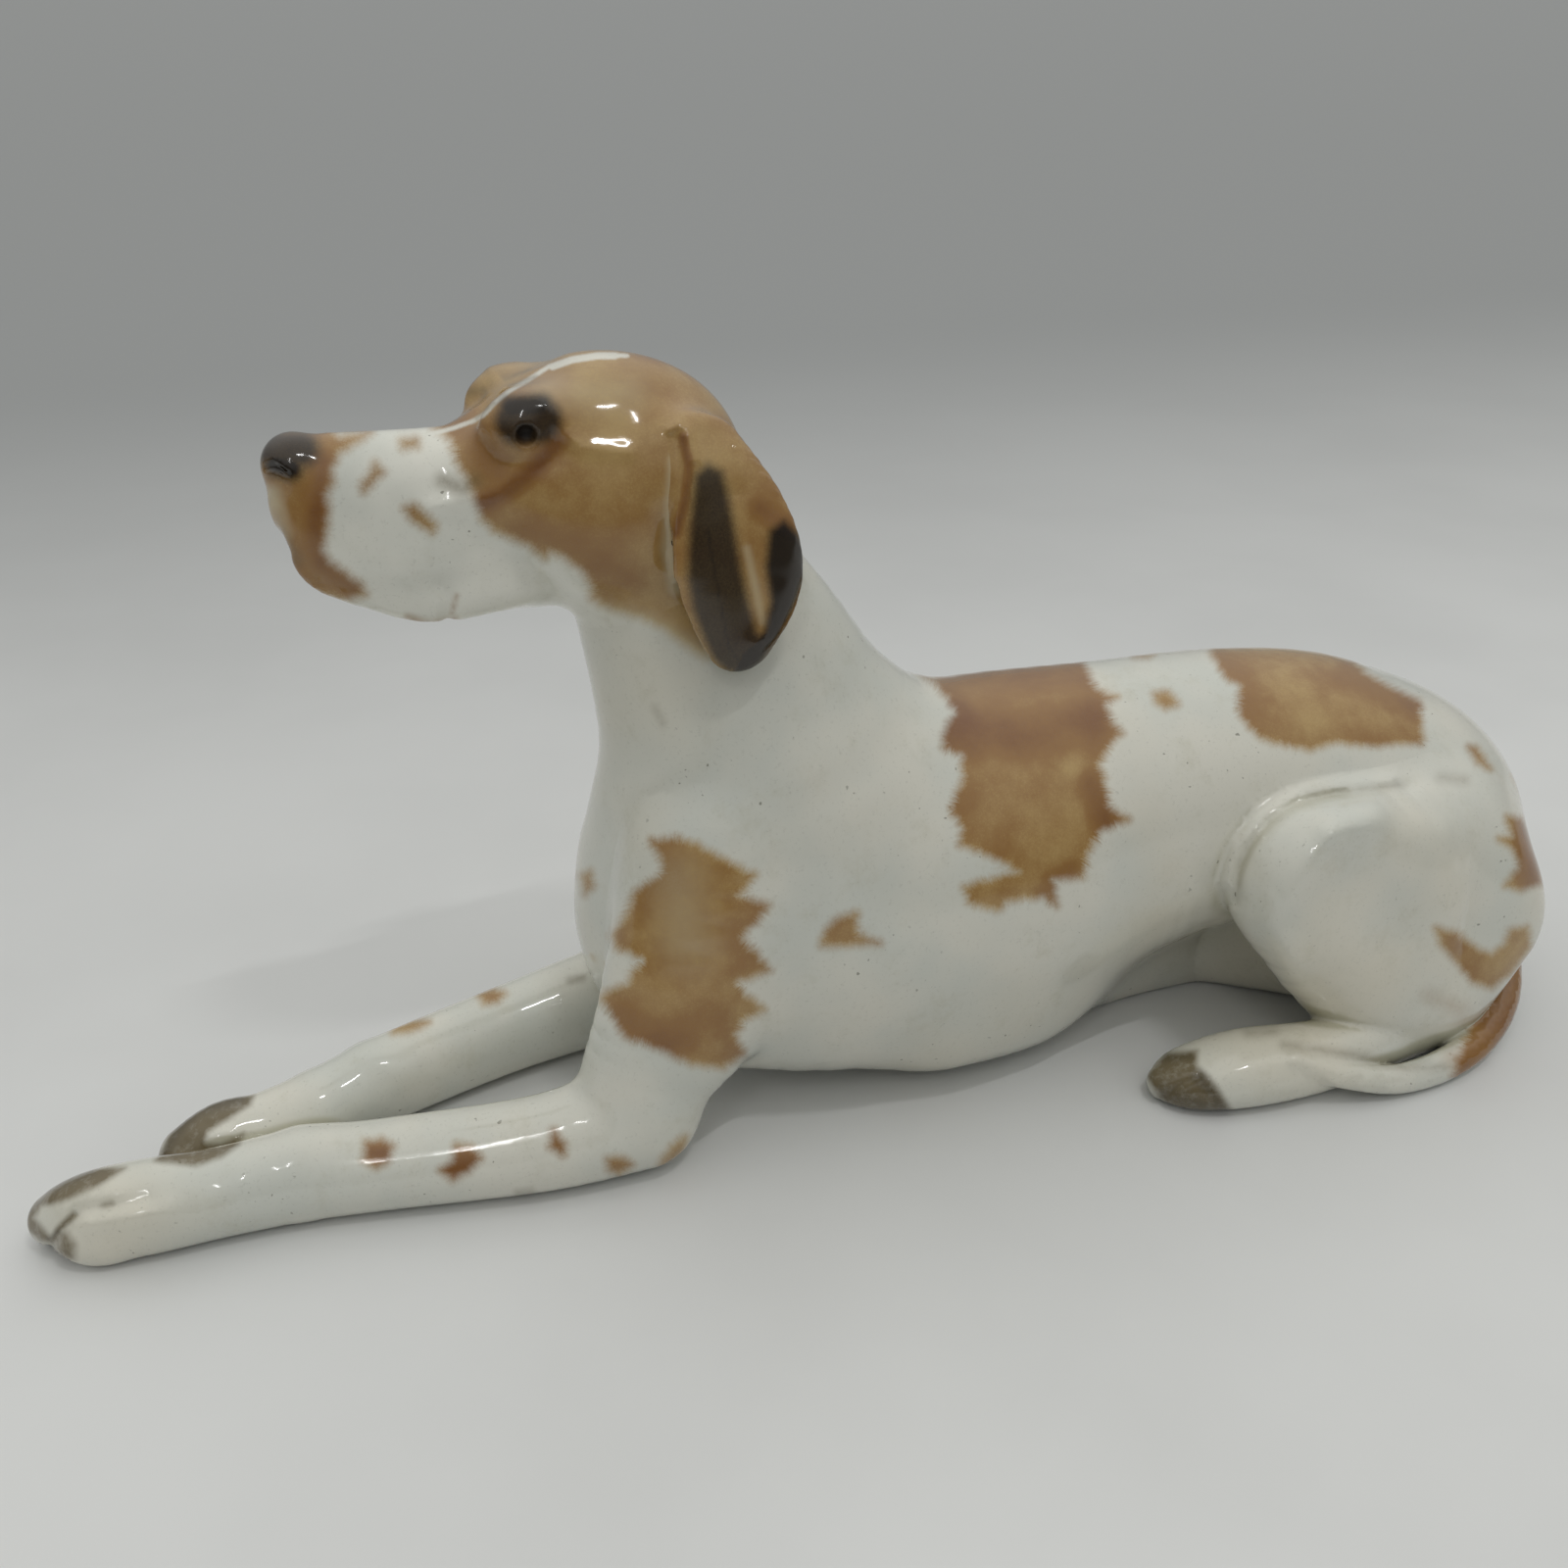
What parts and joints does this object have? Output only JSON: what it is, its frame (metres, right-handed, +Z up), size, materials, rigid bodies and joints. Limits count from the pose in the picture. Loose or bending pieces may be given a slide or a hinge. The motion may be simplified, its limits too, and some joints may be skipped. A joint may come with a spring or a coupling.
{
  "type": "porcelain dog figurine",
  "caption": "Lying pointer dog figurine of glazed porcelain, head raised, forelegs stretched out in front and tail curled round the left haunch.",
  "frame": {"origin": "centre of the figure's outline on the surface it lies on", "axes": "+X from the nose towards the rump, +Y towards the dog's right side, +Z up"},
  "size_m": [0.311, 0.1006, 0.1456],
  "materials": {
    "white_glaze": "glossy clear glaze over white porcelain with hand-painted tan patches",
    "tan_glaze": "glossy clear glaze over hand-painted tan",
    "dark_tan_glaze": "glossy clear glaze over hand-painted dark tan"
  },
  "bodies": {
    "root": {"torso": "white_glaze", "neck": "white_glaze", "head": "tan_glaze", "left_foreleg": "white_glaze", "right_foreleg": "white_glaze", "left_haunch": "white_glaze", "right_haunch": "white_glaze", "left_ear": "dark_tan_glaze", "right_ear": "dark_tan_glaze", "left_hind_foot": "white_glaze", "right_hind_foot": "white_glaze", "tail": "white_glaze"}
  },
  "joints": []
}
